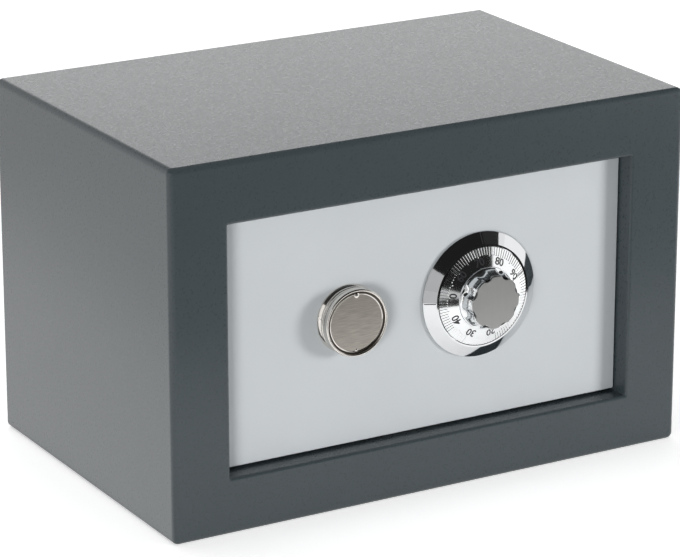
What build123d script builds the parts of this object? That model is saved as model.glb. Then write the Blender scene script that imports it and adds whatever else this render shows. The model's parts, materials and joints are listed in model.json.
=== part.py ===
from build123d import *

import os
from math import asin, cos, degrees, radians, sin

# A small home safe with a dial and a key, its door closed and its bolts withdrawn.
# Millimetres. The origin is the middle of the base, +X is right, +Z is up, the front faces -Y.

# Casing: one folded and welded sheet with a back panel let into it
width = 310.0
depth = 200.0
height = 200.0
casing_wall = 2.0
casing_bend = 3.5
front_bend = 3.0
side_band = 33.0
top_band = 33.5
bottom_band = 30.8
opening_corner = 0.5
opening_edge = 1.7
return_depth = 24.0
back_wall = 2.0
back_inset = 1.0
anchor_radius = 5.0
base_anchor_spacing = 200.0
base_anchor_y = 20.0
back_anchor_spacing = 200.0
back_anchor_level = 100.0
mat_thickness = 3.0
mat_gap = 1.5
mat_corner = 4.0

# Door
door_recess = 11.0
door_thickness = 3.0
door_hinge_gap = 2.0
door_side_gap = 0.6
door_level_gap = 1.4
door_corner = 1.0
door_edge = 0.5

# Hinge: a pin at the top and one at the bottom of the door's left edge
hinge_inset = 15.0
hinge_block_size = 8.0
hinge_block_height = 16.0
hinge_pin_radius = 3.0
hinge_pin_end = 1.5
hinge_washer_radius = 4.5

# Fits
running_clearance = 0.05
end_play = 0.1
sliding_gap = 0.3

# Dial, its ring and its knob, by radius and by height in front of the door
lock_rise = 2.85
dial_from_edge = 88.4
ring_radius = 34.5
ring_edge = 1.2
ring_height = 4.8
ring_lip = 0.9
ring_floor = 1.0
ring_screw_radius = 1.5
ring_screw_head_radius = 2.8
ring_screw_head = 1.8
ring_screw_circle = 18.0
dial_radius = 26.9
dial_gap = 0.5
dial_lift = 1.1
dial_edge = 5.0
dial_hub_height = 8.5
dial_wall = 2.4
dial_hub_radius = 8.0
knob_base_radius = 17.0
knob_skirt = 1.2
knob_face_radius = 14.8
knob_height = 17.4
knob_edge = 0.4
knob_socket = 14.0
flute_count = 8
flute_start = 20.0
flute_depth = 1.3
flute_radius = 2.9
flute_blend = 1.6
flute_foot_depth = 0.9
flute_foot_radius = 0.8
flute_foot_blend = 3.0
knob_face_inset = 0.6
knob_face_thickness = 0.6
spindle_radius = 4.0
spindle_tip_radius = 3.0
spindle_hole_radius = 5.0

# Wheel pack and its case, behind the dial
case_size = 62.0
case_corner = 3.0
case_wall = 2.0
case_end_gap = 1.5
case_web_gap = 5.0
case_cover_thickness = 1.5
case_screw_inset = 6.0
case_boss_radius = 4.5
case_window_gap = 1.5
post_radius = 6.5
post_shoulder_radius = 9.0
wheel_count = 3
wheel_radius = 21.0
wheel_thickness = 2.4
wheel_pitch = 4.2
wheel_first = 3.0
gate_width = 6.0
gate_depth = 6.0
stud_radius = 1.4
stud_circle = 14.0
stud_angle = 120.0
clip_thickness = 1.0
clip_radius = 8.5
clip_groove = 0.5
clip_mouth = 7.0
post_end = 0.5
cam_thickness = 4.0
cam_radius = 20.0
cam_nut_flats = 10.0
cam_nut_thickness = 2.8

# Key lock and its cover
key_spacing = 79.5
escutcheon_radius = 18.5
escutcheon_height = 6.8
escutcheon_floor = 2.0
escutcheon_lip = 0.4
escutcheon_base = 2.2
escutcheon_bevel = 0.4
escutcheon_groove = 0.9
groove_depth = 1.2
band_step = 0.3
key_cover_step = 0.2
key_cover_height = 10.0
key_cover_disc = 2.2
key_cover_rim = 1.5
key_cover_bevel = 0.5
key_cover_gap = 0.2
rivet_radius = 1.2
rivet_head_radius = 1.5
rivet_head = 0.5
detent_radius = 1.1
detent_rise = 0.35
housing_radius = 9.5
housing_flange_gap = 0.5
housing_flange = 2.0
housing_nut_flats = 24.0
housing_nut_thickness = 4.0
plug_radius = 6.0
plug_proud = 0.3
plug_tail_radius = 3.5
keyway_width = 2.0
keyway_height = 8.5
keyway_depth = 15.0
key_turn = 90.0
crank_thickness = 2.5
crank_hub_radius = 6.5
crank_arm_radius = 4.5
crank_pin_radius = 2.5
crank_pin_clearance = 0.4
crank_screw_radius = 1.5
crank_screw_head_radius = 3.2
crank_screw_head = 2.2
crank_screw_length = 8.0

# Boltwork, behind the door
bolt_radius = 8.0
bolt_chamfer = 1.5
bolt_travel = 14.0
bolt_slack = 0.5
bolt_spacing = 56.0
bolt_tip_inset = 1.5
bolt_spigot_radius = 4.0
plate_thickness = 3.0
plate_corner = 3.0
plate_flange_margin = 1.0
rail_width = 12.0
rail_gap = 2.0
web_width = 15.0
prong_width = 5.0
guide_left_reach = 56.0
guide_right_reach = 24.0
guide_radius = 3.0
guide_shoulder_radius = 4.5
guide_clip_radius = 5.5
guide_clip_thickness = 1.0
guide_end = 0.4
bracket_thickness = 3.0
bracket_foot = 15.0
bracket_gap = 2.0
bracket_margin = 4.0
fence_height = 5.0
fence_clearance = 0.5
fence_foot = 8.0
fence_chamfer = 1.0

# Inner cover over the boltwork, and the small screws
pan_hinge_gap = 5.0
pan_rear_gap = 1.3
pan_wall = 1.2
pan_corner = 6.0
pan_edge = 2.5
pan_gap = 2.0
pan_notch_gap = 0.6
pan_post_radius = 4.0
pan_post_inset = 5.5
pan_post_gap = 1.0
screw_radius = 2.0
screw_head_radius = 3.5
screw_head = 2.0
screw_length = 8.0
lock_screw_bite = 2.2

# Places along the depth, from the front to the back
front = -depth / 2
door_face = front + door_recess
door_rear = door_face + door_thickness
return_rear = front + return_depth
bolt_y = return_rear + bolt_slack + bolt_radius
plate_front = bolt_y - plate_thickness / 2
plate_rear = bolt_y + plate_thickness / 2
case_floor = door_rear + case_wall
back_face = depth / 2 - back_inset

# Places across and up the front
opening_width = width - 2 * side_band
opening_top = height - top_band
opening_height = opening_top - bottom_band
opening_middle = (opening_top + bottom_band) / 2
door_left = -opening_width / 2 + door_hinge_gap
door_right = opening_width / 2 - door_side_gap
door_bottom = bottom_band + door_level_gap
door_top = opening_top - door_level_gap
hinge_x = door_left + hinge_inset
hinge_y = door_rear + hinge_block_size / 2
lock_level = opening_middle + lock_rise
dial_x = door_right - dial_from_edge
key_x = dial_x - key_spacing
case_top = lock_level + case_size / 2
case_right = dial_x + case_size / 2
web_left = case_right + case_web_gap
bolt_root = web_left + web_width
bolt_length = door_right - bolt_tip_inset - bolt_root
flange_left = bolt_root - plate_thickness
bracket_half = bolt_spacing / 2 + bolt_radius + bracket_margin
rail_bottom = case_top + rail_gap
rail_top = rail_bottom + rail_width
rail_middle = rail_bottom + rail_width / 2
guide_xs = (dial_x - guide_left_reach, dial_x + guide_right_reach)
bracket_left = bolt_root + bolt_travel + bracket_gap
bracket_right = bracket_left + bracket_thickness
pan_left = hinge_x + hinge_block_size / 2 + pan_hinge_gap
pan_right = bracket_right + pan_gap + pan_wall
pan_width = pan_right - pan_left
pan_middle = (pan_left + pan_right) / 2
pan_post_dx = pan_width - 2 * (pan_wall + pan_post_inset)
pan_post_dz = 2 * (rail_top + pan_post_gap + pan_post_radius - lock_level)
pan_height = pan_post_dz + 2 * (pan_wall + pan_post_inset)

# The crank pin swings as far as the bolts travel and stays in its fork
crank_radius = bolt_travel / (2 * sin(radians(key_turn / 2)))
crank_pin_dx = -crank_radius * sin(radians(key_turn / 2))
crank_pin_dz = crank_radius * cos(radians(key_turn / 2))
fork_half = crank_pin_radius + crank_pin_clearance
fork_x = key_x + crank_pin_dx
fork_top = lock_level + crank_radius
fork_bottom = lock_level + crank_screw_head_radius + 2 * sliding_gap
crank_rear = plate_front - sliding_gap
crank_front = crank_rear - crank_thickness
housing_rear = crank_front - sliding_gap
housing_front = door_face - escutcheon_floor - housing_flange
key_cover_radius = escutcheon_radius - key_cover_step
rim_bore = key_cover_radius - key_cover_rim
rivet_circle = rim_bore - band_step - rivet_head_radius - end_play
escutcheon_bore_radius = rivet_circle - rivet_radius - escutcheon_lip
housing_flange_radius = escutcheon_bore_radius - housing_flange_gap

# Wheels, spacers, clip and drive cam follow each other along the post
wheel_fronts = [door_rear + wheel_first + n * wheel_pitch for n in range(wheel_count)]
pack_rear = wheel_fronts[-1] + wheel_thickness
clip_front = pack_rear + end_play
post_rear = clip_front + clip_thickness + post_end
cam_front = post_rear + sliding_gap
cam_rear = cam_front + cam_thickness
case_rear = cam_rear + cam_nut_thickness + case_end_gap
case_depth = case_rear - door_rear
case_lid_rear = case_rear + case_cover_thickness
pan_rear = max(case_lid_rear + screw_head, bolt_y + bolt_radius) + pan_rear_gap + pan_wall
pan_depth = pan_rear - door_rear
stud_length = wheel_pitch - wheel_thickness - sliding_gap
stud_step = degrees(2 * asin((2 * stud_radius + end_play) / 2 / stud_circle))

os.makedirs("parts", exist_ok=True)


def facing(y):
    """The upright plane at depth y as seen from the front; extrusions come forward."""
    return Plane.XZ.offset(-y)


def profile_plane(x):
    """A plane through a lock's axis: radius across, height in front of the door up."""
    return Plane(origin=(x, door_face, lock_level), x_dir=(1, 0, 0), z_dir=(0, 0, -1))


def lock_axis(x):
    """The line through the middle of the dial or of the key lock."""
    return Axis((x, door_face, lock_level), (0, -1, 0))


def scallops(level, radius, notch, notch_depth, blend):
    """The knob's outline at a height in front of the door: a circle with rounded notches."""
    with BuildSketch(facing(door_face - level)) as outline:
        with Locations((dial_x, lock_level)):
            Circle(radius)
            with PolarLocations(
                radius + notch - notch_depth, flute_count, start_angle=flute_start
            ):
                Circle(notch, mode=Mode.SUBTRACT)
        fillet(outline.vertices(), blend)
    return outline.sketch


# Casing

with BuildPart() as casing_shell:
    with BuildSketch(facing(depth / 2)):
        with Locations((0, height / 2)):
            RectangleRounded(width, height, casing_bend)
    extrude(amount=depth)
    fillet(casing_shell.faces().sort_by(Axis.Y)[0].edges(), front_bend)
    offset(amount=-casing_wall, openings=casing_shell.faces().sort_by(Axis.Y)[-1])
    with BuildSketch(facing(front + casing_wall)):
        with Locations((0, opening_middle)):
            RectangleRounded(opening_width, opening_height, opening_corner)
    extrude(amount=casing_wall, mode=Mode.SUBTRACT)
    with BuildSketch(facing(return_rear)):
        with Locations((0, opening_middle)):
            RectangleRounded(
                opening_width + 2 * casing_wall,
                opening_height + 2 * casing_wall,
                opening_corner + casing_wall,
            )
            RectangleRounded(
                opening_width, opening_height, opening_corner, mode=Mode.SUBTRACT
            )
    extrude(amount=return_depth - casing_wall)
    front_face = casing_shell.faces().sort_by(Axis.Y)[0]
    fillet(front_face.inner_wires()[0].edges(), opening_edge)
    with BuildSketch(Plane.XY.offset(bottom_band - casing_wall)):
        with Locations((hinge_x, hinge_y)):
            Circle(hinge_pin_radius + running_clearance)
    extrude(amount=opening_height + 2 * casing_wall, mode=Mode.SUBTRACT)
    with BuildSketch(Plane.XY):
        with Locations((0, base_anchor_y)):
            with GridLocations(base_anchor_spacing, 0, 2, 1):
                Circle(anchor_radius)
    extrude(amount=casing_wall, mode=Mode.SUBTRACT)
casing_shell.part.label = "casing_shell"
export_step(casing_shell.part, "parts/casing_shell.step")

with BuildPart() as back_panel:
    with BuildSketch(facing(back_face)):
        with Locations((0, height / 2)):
            RectangleRounded(
                width - 2 * casing_wall,
                height - 2 * casing_wall,
                casing_bend - casing_wall,
            )
        with Locations((0, back_anchor_level)):
            with GridLocations(back_anchor_spacing, 0, 2, 1):
                Circle(anchor_radius, mode=Mode.SUBTRACT)
    extrude(amount=back_wall)
back_panel.part.label = "back_panel"
export_step(back_panel.part, "parts/back_panel.step")

mat_front = front + casing_wall + mat_gap
mat_rear = back_face - back_wall - mat_gap
with BuildPart() as floor_mat:
    with BuildSketch(Plane.XY.offset(casing_wall)):
        with Locations((0, (mat_front + mat_rear) / 2)):
            RectangleRounded(
                width - 2 * (casing_wall + mat_gap), mat_rear - mat_front, mat_corner
            )
        with Locations((0, base_anchor_y)):
            with GridLocations(base_anchor_spacing, 0, 2, 1):
                Circle(anchor_radius + mat_gap, mode=Mode.SUBTRACT)
    extrude(amount=mat_thickness)
floor_mat.part.label = "floor_mat"
export_step(floor_mat.part, "parts/floor_mat.step")

# Door and hinge

case_screw_reach = case_size / 2 - case_screw_inset
case_fixing_places = [
    (dial_x - case_screw_reach, lock_level + case_screw_reach),
    (dial_x + case_screw_reach, lock_level - case_screw_reach),
]
case_lid_places = [
    (dial_x + case_screw_reach, lock_level + case_screw_reach),
    (dial_x - case_screw_reach, lock_level - case_screw_reach),
]

with BuildPart() as door_plate:
    with BuildSketch(facing(door_rear)):
        with Locations(((door_left + door_right) / 2, opening_middle)):
            RectangleRounded(door_right - door_left, door_top - door_bottom, door_corner)
    extrude(amount=door_thickness)
    fillet(door_plate.faces().sort_by(Axis.Y)[0].edges(), door_edge)
    with BuildSketch(facing(door_rear)):
        with Locations((dial_x, lock_level)):
            Circle(spindle_hole_radius)
            with PolarLocations(ring_screw_circle, 2):
                Circle(ring_screw_radius)
        with Locations((key_x, lock_level)):
            Circle(housing_radius)
    extrude(amount=door_thickness, mode=Mode.SUBTRACT)
    with BuildSketch(facing(door_rear)):
        with Locations(*case_fixing_places):
            Circle(screw_radius)
    extrude(amount=lock_screw_bite, mode=Mode.SUBTRACT)
door_plate.part.label = "door_plate"
export_step(door_plate.part, "parts/door_plate.step")

with BuildPart() as hinge_blocks:
    for bottom in (door_bottom, door_top - hinge_block_height):
        with BuildSketch(Plane.XY.offset(bottom)):
            with Locations((hinge_x, hinge_y)):
                Rectangle(hinge_block_size, hinge_block_size)
                Circle(hinge_pin_radius, mode=Mode.SUBTRACT)
        extrude(amount=hinge_block_height)
hinge_blocks.part.label = "hinge_blocks"
export_step(hinge_blocks.part, "parts/hinge_blocks.step")

pin_length = hinge_block_height + door_level_gap + casing_wall + hinge_pin_end
with BuildPart() as hinge_pins:
    for bottom in (
        bottom_band - casing_wall - hinge_pin_end,
        door_top - hinge_block_height,
    ):
        with BuildSketch(Plane.XY.offset(bottom)):
            with Locations((hinge_x, hinge_y)):
                Circle(hinge_pin_radius)
        extrude(amount=pin_length)
hinge_pins.part.label = "hinge_pins"
export_step(hinge_pins.part, "parts/hinge_pins.step")

with BuildPart() as hinge_washers:
    for bottom in (bottom_band + end_play, door_top):
        with BuildSketch(Plane.XY.offset(bottom)):
            with Locations((hinge_x, hinge_y)):
                Circle(hinge_washer_radius)
                Circle(hinge_pin_radius, mode=Mode.SUBTRACT)
        extrude(amount=door_level_gap - end_play)
hinge_washers.part.label = "hinge_washers"
export_step(hinge_washers.part, "parts/hinge_washers.step")

# Dial ring on the door, then the dial, which turns with its knob, spindle and cam

ring_bore = dial_radius + dial_gap
with BuildPart() as dial_ring:
    with BuildSketch(profile_plane(dial_x)):
        with BuildLine():
            Polyline(
                (spindle_hole_radius, 0),
                (ring_radius, 0),
                (ring_radius, ring_edge),
                (ring_bore + ring_lip, ring_height),
                (ring_bore, ring_height),
                (ring_bore, ring_floor),
                (spindle_hole_radius, ring_floor),
                close=True,
            )
        make_face()
    revolve(axis=lock_axis(dial_x))
    with BuildSketch(facing(door_face)):
        with Locations((dial_x, lock_level)):
            with PolarLocations(ring_screw_circle, 2):
                Circle(ring_screw_radius)
    extrude(amount=ring_floor, mode=Mode.SUBTRACT)
dial_ring.part.label = "dial_ring"
export_step(dial_ring.part, "parts/dial_ring.step")

with BuildPart() as ring_screws:
    with BuildSketch(facing(door_rear)):
        with Locations((dial_x, lock_level)):
            with PolarLocations(ring_screw_circle, 2):
                Circle(ring_screw_radius)
    extrude(amount=door_thickness + ring_floor)
    with BuildSketch(facing(door_face - ring_floor)):
        with Locations((dial_x, lock_level)):
            with PolarLocations(ring_screw_circle, 2):
                Circle(ring_screw_head_radius)
    extrude(amount=ring_screw_head)
ring_screws.part.label = "ring_screws"
export_step(ring_screws.part, "parts/ring_screws.step")

dial_bottom = ring_floor + dial_lift
dial_ceiling = dial_bottom + ring_screw_head
with BuildPart() as dial_disc:
    with BuildSketch(profile_plane(dial_x)):
        with BuildLine():
            Polyline(
                (spindle_radius, dial_bottom),
                (dial_hub_radius, dial_bottom),
                (dial_hub_radius, dial_ceiling),
                (dial_radius - dial_wall, dial_ceiling),
                (dial_radius - dial_wall, dial_bottom),
                (dial_radius, dial_bottom),
                (dial_radius, dial_edge),
                (knob_base_radius, dial_hub_height),
                (spindle_radius, dial_hub_height),
                close=True,
            )
        make_face()
    revolve(axis=lock_axis(dial_x))
dial_disc.part.label = "dial_disc"
export_step(dial_disc.part, "parts/dial_disc.step")

# The knob's scalloped face flares to a round skirt, so its flutes run out towards it
knob_foot = scallops(
    dial_hub_height + knob_skirt,
    knob_base_radius,
    flute_foot_radius,
    flute_foot_depth,
    flute_foot_blend,
)
knob_crown = scallops(
    knob_height, knob_face_radius, flute_radius, flute_depth, flute_blend
)

with BuildPart() as dial_knob:
    loft(sections=[knob_foot.face(), knob_crown.face()], ruled=True)
    with BuildSketch(facing(door_face - dial_hub_height)):
        with Locations((dial_x, lock_level)):
            Circle(knob_base_radius)
    extrude(amount=knob_skirt)
    fillet(dial_knob.faces().sort_by(Axis.Y)[0].edges(), knob_edge)
    with BuildSketch(facing(door_face - dial_hub_height)):
        with Locations((dial_x, lock_level)):
            Circle(spindle_radius)
    extrude(amount=knob_socket - dial_hub_height, mode=Mode.SUBTRACT)
dial_knob.part.label = "dial_knob"
export_step(dial_knob.part, "parts/dial_knob.step")

knob_front = scallops(
    knob_height,
    knob_face_radius - knob_face_inset,
    flute_radius + knob_face_inset,
    flute_depth,
    flute_blend - knob_face_inset,
)

with BuildPart() as knob_face:
    extrude(to_extrude=knob_front, amount=knob_face_thickness)
knob_face.part.label = "knob_face"
export_step(knob_face.part, "parts/knob_face.step")

with BuildPart() as spindle:
    with BuildSketch(facing(cam_rear)):
        with Locations((dial_x, lock_level)):
            Circle(spindle_radius)
    extrude(amount=cam_rear - (door_face - knob_socket))
    with BuildSketch(facing(cam_rear + cam_nut_thickness)):
        with Locations((dial_x, lock_level)):
            Circle(spindle_tip_radius)
    extrude(amount=cam_nut_thickness)
spindle.part.label = "spindle"
export_step(spindle.part, "parts/spindle.step")

with BuildPart() as drive_cam:
    with BuildSketch(facing(cam_rear)):
        with Locations((dial_x, lock_level)):
            Circle(cam_radius)
            Circle(spindle_radius, mode=Mode.SUBTRACT)
        with Locations((dial_x + cam_radius - gate_depth / 2, lock_level)):
            Rectangle(gate_depth, gate_width, mode=Mode.SUBTRACT)
    extrude(amount=cam_thickness)
    with BuildSketch(facing(cam_front)):
        with Locations((dial_x, lock_level)):
            with PolarLocations(stud_circle, 1, start_angle=stud_angle + stud_step):
                Circle(stud_radius)
    extrude(amount=stud_length)
drive_cam.part.label = "drive_cam"
export_step(drive_cam.part, "parts/drive_cam.step")

with BuildPart() as cam_nut:
    with BuildSketch(facing(cam_rear + cam_nut_thickness)):
        with Locations((dial_x, lock_level)):
            RegularPolygon(cam_nut_flats / 2, 6, major_radius=False)
            Circle(spindle_tip_radius, mode=Mode.SUBTRACT)
    extrude(amount=cam_nut_thickness)
cam_nut.part.label = "cam_nut"
export_step(cam_nut.part, "parts/cam_nut.step")

# Wheel pack: each wheel's studs reach the next wheel's, as they do once picked up

for number, wheel_front in enumerate(wheel_fronts, start=1):
    with BuildPart() as wheel:
        with BuildSketch(facing(wheel_front + wheel_thickness)):
            with Locations((dial_x, lock_level)):
                Circle(wheel_radius)
                Circle(post_radius + running_clearance, mode=Mode.SUBTRACT)
            with Locations((dial_x + wheel_radius - gate_depth / 2, lock_level)):
                Rectangle(gate_depth, gate_width, mode=Mode.SUBTRACT)
        extrude(amount=wheel_thickness)
        with BuildSketch(facing(wheel_front + wheel_thickness + stud_length)):
            with Locations((dial_x, lock_level)):
                with PolarLocations(stud_circle, 1, start_angle=stud_angle):
                    Circle(stud_radius)
        extrude(amount=stud_length)
        if number > 1:
            with BuildSketch(facing(wheel_front)):
                with Locations((dial_x, lock_level)):
                    with PolarLocations(
                        stud_circle, 1, start_angle=stud_angle + stud_step
                    ):
                        Circle(stud_radius)
            extrude(amount=stud_length)
    wheel.part.label = f"wheel_{number}"
    export_step(wheel.part, f"parts/wheel_{number}.step")

with BuildPart() as wheel_spacers:
    for wheel_front in wheel_fronts[1:]:
        with BuildSketch(facing(wheel_front - end_play)):
            with Locations((dial_x, lock_level)):
                Circle(post_shoulder_radius)
                Circle(post_radius, mode=Mode.SUBTRACT)
        extrude(amount=wheel_pitch - wheel_thickness - 2 * end_play)
wheel_spacers.part.label = "wheel_spacers"
export_step(wheel_spacers.part, "parts/wheel_spacers.step")

with BuildPart() as wheel_clip:
    with BuildSketch(facing(clip_front + clip_thickness)):
        with Locations((dial_x, lock_level)):
            Circle(clip_radius)
            Circle(post_radius - clip_groove, mode=Mode.SUBTRACT)
        with Locations((dial_x, lock_level - clip_radius)):
            Rectangle(clip_mouth, 2 * clip_radius - post_radius, mode=Mode.SUBTRACT)
    extrude(amount=clip_thickness)
wheel_clip.part.label = "wheel_clip"
export_step(wheel_clip.part, "parts/wheel_clip.step")

with BuildPart() as lock_case:
    with BuildSketch(facing(case_rear)):
        with Locations((dial_x, lock_level)):
            RectangleRounded(case_size, case_size, case_corner)
    extrude(amount=case_depth)
    with BuildSketch(facing(case_rear)):
        with Locations((dial_x, lock_level)):
            RectangleRounded(
                case_size - 2 * case_wall,
                case_size - 2 * case_wall,
                case_corner - case_wall,
            )
        with Locations(*case_lid_places):
            Circle(case_boss_radius, mode=Mode.SUBTRACT)
    extrude(amount=case_depth - case_wall, mode=Mode.SUBTRACT)
    with BuildSketch(facing(post_rear)):
        with Locations((dial_x, lock_level)):
            Circle(post_radius)
    extrude(amount=post_rear - case_floor)
    with BuildSketch(facing(wheel_fronts[0] - end_play)):
        with Locations((dial_x, lock_level)):
            Circle(post_shoulder_radius)
    extrude(amount=wheel_fronts[0] - end_play - case_floor)
    with BuildSketch(facing(clip_front + clip_thickness)):
        with Locations((dial_x, lock_level)):
            Circle(post_radius)
            Circle(post_radius - clip_groove, mode=Mode.SUBTRACT)
    extrude(amount=clip_thickness, mode=Mode.SUBTRACT)
    with BuildSketch(facing(post_rear)):
        with Locations((dial_x, lock_level)):
            Circle(spindle_radius + running_clearance)
    extrude(amount=post_rear - door_rear, mode=Mode.SUBTRACT)
    with BuildSketch(facing(case_floor)):
        with Locations(*case_fixing_places):
            Circle(screw_radius)
    extrude(amount=case_wall, mode=Mode.SUBTRACT)
    with BuildSketch(facing(case_rear)):
        with Locations(*case_lid_places):
            Circle(screw_radius)
    extrude(amount=screw_length, mode=Mode.SUBTRACT)
    window_rear = plate_front + case_window_gap
    with BuildSketch(facing(window_rear)):
        with Locations((case_right - case_wall / 2, lock_level)):
            Rectangle(case_wall, fence_height + 2 * case_window_gap)
    extrude(amount=window_rear - case_floor, mode=Mode.SUBTRACT)
lock_case.part.label = "lock_case"
export_step(lock_case.part, "parts/lock_case.step")

with BuildPart() as lock_lid:
    with BuildSketch(facing(case_lid_rear)):
        with Locations((dial_x, lock_level)):
            RectangleRounded(case_size, case_size, case_corner)
        with Locations(*case_lid_places):
            Circle(screw_radius, mode=Mode.SUBTRACT)
    extrude(amount=case_cover_thickness)
lock_lid.part.label = "lock_lid"
export_step(lock_lid.part, "parts/lock_lid.step")

with BuildPart() as case_screws:
    with BuildSketch(facing(case_floor + screw_head)):
        with Locations(*case_fixing_places):
            Circle(screw_head_radius)
    extrude(amount=screw_head)
    with BuildSketch(facing(case_floor)):
        with Locations(*case_fixing_places):
            Circle(screw_radius)
    extrude(amount=case_wall + lock_screw_bite)
case_screws.part.label = "case_screws"
export_step(case_screws.part, "parts/case_screws.step")

with BuildPart() as lid_screws:
    with BuildSketch(facing(case_lid_rear + screw_head)):
        with Locations(*case_lid_places):
            Circle(screw_head_radius)
    extrude(amount=screw_head)
    with BuildSketch(facing(case_lid_rear)):
        with Locations(*case_lid_places):
            Circle(screw_radius)
    extrude(amount=case_cover_thickness + screw_length)
lid_screws.part.label = "lid_screws"
export_step(lid_screws.part, "parts/lid_screws.step")

# Key lock: escutcheon, swinging cover, housing, plug and crank

groove_radius = escutcheon_radius - groove_depth
band_radius = escutcheon_radius - band_step
band_bottom = escutcheon_base + escutcheon_groove
with BuildPart() as key_escutcheon:
    with BuildSketch(profile_plane(key_x)):
        with BuildLine():
            Polyline(
                (housing_radius, 0),
                (escutcheon_radius, 0),
                (escutcheon_radius, escutcheon_base - escutcheon_bevel),
                (escutcheon_radius - escutcheon_bevel, escutcheon_base),
                (groove_radius, escutcheon_base),
                (groove_radius, band_bottom),
                (band_radius, band_bottom),
                (band_radius, escutcheon_height - 2 * escutcheon_bevel),
                (groove_radius, escutcheon_height),
                (escutcheon_bore_radius, escutcheon_height),
                (escutcheon_bore_radius, escutcheon_floor),
                (housing_radius, escutcheon_floor),
                close=True,
            )
        make_face()
    revolve(axis=lock_axis(key_x))
    with BuildSketch(facing(door_face)):
        with Locations((key_x, lock_level + rivet_circle)):
            Circle(rivet_radius)
    extrude(amount=escutcheon_height, mode=Mode.SUBTRACT)
key_escutcheon.part.label = "key_escutcheon"
export_step(key_escutcheon.part, "parts/key_escutcheon.step")

cover_bottom = escutcheon_height + key_cover_gap
cover_disc_top = cover_bottom + key_cover_disc
with BuildPart() as key_cover:
    with BuildSketch(profile_plane(key_x)):
        with BuildLine():
            Polyline(
                (0, cover_bottom),
                (key_cover_radius - key_cover_bevel, cover_bottom),
                (key_cover_radius, cover_bottom + key_cover_bevel),
                (key_cover_radius, key_cover_height - key_cover_bevel),
                (key_cover_radius - key_cover_bevel, key_cover_height),
                (rim_bore, key_cover_height),
                (rim_bore - band_step, cover_disc_top),
                (0, cover_disc_top),
                close=True,
            )
        make_face()
    revolve(axis=lock_axis(key_x))
    with Locations(
        (
            key_x,
            door_face - cover_disc_top + detent_radius - detent_rise,
            lock_level - rivet_circle,
        )
    ):
        Sphere(detent_radius)
    with BuildSketch(facing(door_face - cover_bottom)):
        with Locations((key_x, lock_level + rivet_circle)):
            Circle(rivet_radius + running_clearance)
    extrude(amount=key_cover_disc, mode=Mode.SUBTRACT)
key_cover.part.label = "key_cover"
export_step(key_cover.part, "parts/key_cover.step")

with BuildPart() as cover_rivet:
    with BuildSketch(facing(door_face)):
        with Locations((key_x, lock_level + rivet_circle)):
            Circle(rivet_radius)
    extrude(amount=cover_disc_top + end_play)
    with BuildSketch(facing(door_face - cover_disc_top - end_play)):
        with Locations((key_x, lock_level + rivet_circle)):
            Circle(rivet_head_radius)
    extrude(amount=rivet_head)
cover_rivet.part.label = "cover_rivet"
export_step(cover_rivet.part, "parts/cover_rivet.step")

with BuildPart() as key_housing:
    with BuildSketch(facing(housing_rear)):
        with Locations((key_x, lock_level)):
            Circle(housing_radius)
    extrude(amount=housing_rear - housing_front)
    with BuildSketch(facing(housing_front + housing_flange)):
        with Locations((key_x, lock_level)):
            Circle(housing_flange_radius)
    extrude(amount=housing_flange)
    with BuildSketch(facing(housing_rear)):
        with Locations((key_x, lock_level)):
            Circle(plug_radius + running_clearance)
    extrude(amount=housing_rear - housing_front, mode=Mode.SUBTRACT)
key_housing.part.label = "key_housing"
export_step(key_housing.part, "parts/key_housing.step")

with BuildPart() as housing_nut:
    with BuildSketch(facing(door_rear + housing_nut_thickness)):
        with Locations((key_x, lock_level)):
            RegularPolygon(housing_nut_flats / 2, 6, major_radius=False)
            Circle(housing_radius, mode=Mode.SUBTRACT)
    extrude(amount=housing_nut_thickness)
housing_nut.part.label = "housing_nut"
export_step(housing_nut.part, "parts/housing_nut.step")

plug_front = housing_front - plug_proud
with BuildPart() as key_plug:
    with BuildSketch(facing(crank_front)):
        with Locations((key_x, lock_level)):
            Circle(plug_radius)
    extrude(amount=crank_front - plug_front)
    with BuildSketch(facing(crank_rear)):
        with Locations((key_x, lock_level)):
            Circle(plug_tail_radius)
    extrude(amount=crank_thickness)
    with BuildSketch(facing(plug_front + keyway_depth)):
        with Locations((key_x, lock_level)):
            Rectangle(keyway_width, keyway_height)
    extrude(amount=keyway_depth, mode=Mode.SUBTRACT)
    with BuildSketch(facing(crank_rear)):
        with Locations((key_x, lock_level)):
            Circle(crank_screw_radius)
    extrude(amount=crank_screw_length, mode=Mode.SUBTRACT)
key_plug.part.label = "key_plug"
export_step(key_plug.part, "parts/key_plug.step")

with BuildPart() as key_crank:
    with BuildSketch(facing(crank_rear)):
        with Locations((key_x, lock_level)):
            Circle(crank_hub_radius)
        with Locations((key_x + crank_pin_dx, lock_level + crank_pin_dz)):
            Circle(crank_arm_radius)
        make_hull()
        with Locations((key_x, lock_level)):
            Circle(plug_tail_radius, mode=Mode.SUBTRACT)
    extrude(amount=crank_thickness)
    with BuildSketch(facing(plate_rear + sliding_gap)):
        with Locations((key_x + crank_pin_dx, lock_level + crank_pin_dz)):
            Circle(crank_pin_radius)
    extrude(amount=plate_rear + sliding_gap - crank_rear)
key_crank.part.label = "key_crank"
export_step(key_crank.part, "parts/key_crank.step")

with BuildPart() as crank_screw:
    with BuildSketch(facing(crank_rear + crank_screw_head)):
        with Locations((key_x, lock_level)):
            Circle(crank_screw_head_radius)
    extrude(amount=crank_screw_head)
    with BuildSketch(facing(crank_rear)):
        with Locations((key_x, lock_level)):
            Circle(crank_screw_radius)
    extrude(amount=crank_screw_length)
crank_screw.part.label = "crank_screw"
export_step(crank_screw.part, "parts/crank_screw.step")

# Boltwork: one plate carries both bolts and the fence, and the crank pin drives it

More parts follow.
